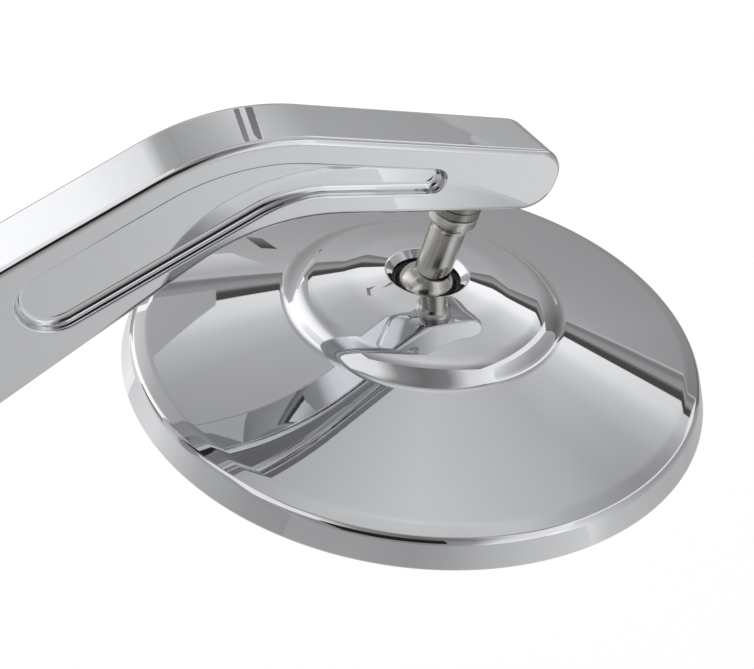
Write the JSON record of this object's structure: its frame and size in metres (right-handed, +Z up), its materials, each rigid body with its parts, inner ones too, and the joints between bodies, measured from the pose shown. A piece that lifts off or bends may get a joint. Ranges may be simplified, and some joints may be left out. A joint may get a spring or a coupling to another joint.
{
  "type": "motorcycle mirror",
  "caption": "Round motorcycle mirror with a convex glass in a polished chrome dish, ball-jointed to a cranked flat chrome arm that ends in a threaded handlebar stud.",
  "frame": {"origin": "on the handlebar stud's axis, at the face of its hexagon that meets the perch", "axes": "+Z up, along the handlebar stud and away from its free thread; +X outwards along the arm to the head; +Y forwards, so the glass faces -Y"},
  "size_m": [0.1514, 0.0575, 0.1046],
  "materials": {
    "arm_chrome": "mirror polish",
    "head_chrome": "mirror polish",
    "stud_steel": "fine turned",
    "washer_steel": "satin",
    "mount_steel": "fine turned",
    "liner_plastic": "moulded",
    "spring_steel": "phosphated",
    "zinc_plate": "zinc plated",
    "screw_steel": "zinc plated",
    "plate_plastic": "moulded",
    "pad_foam": "foam",
    "mirror_glass": "silvered",
    "seal_rubber": "moulded"
  },
  "bodies": {
    "arm": {"arm": "arm_chrome", "ball_stud": "stud_steel", "stud_lock_washer": "washer_steel", "mount_stud": "mount_steel", "mount_lock_washer": "washer_steel"},
    "seat_ring": {"seat_ring": "liner_plastic"},
    "pressure_cup": {"pressure_cup": "liner_plastic"},
    "head": {"head_shell": "head_chrome", "disc_spring_1": "spring_steel", "disc_spring_2": "spring_steel", "clamp_plate": "zinc_plate", "clamp_screw_1": "screw_steel", "clamp_screw_2": "screw_steel", "clamp_screw_3": "screw_steel", "backing_plate": "plate_plastic", "backing_screw_1": "screw_steel", "backing_screw_2": "screw_steel", "backing_screw_3": "screw_steel", "glass_pad": "pad_foam", "glass": "mirror_glass", "rim_seal": "seal_rubber"}
  },
  "joints": [
    {"name": "head_turn", "type": "hinge", "parent": "arm", "child": "seat_ring", "pos_m": [0.0858, 0.009, 0.0129], "axis": [0, 0, 1], "range_deg": [-18, 13]},
    {"name": "head_tilt", "type": "hinge", "parent": "seat_ring", "child": "pressure_cup", "pos_m": [0.0858, 0.009, 0.0129], "axis": [0.991, 0.1336, 0], "range_deg": [-10, 19]},
    {"name": "head_spin", "type": "hinge", "parent": "pressure_cup", "child": "head", "pos_m": [0.0858, 0.009, 0.0129], "axis": [-0.1331, 0.9868, -0.092], "continuous": true}
  ]
}
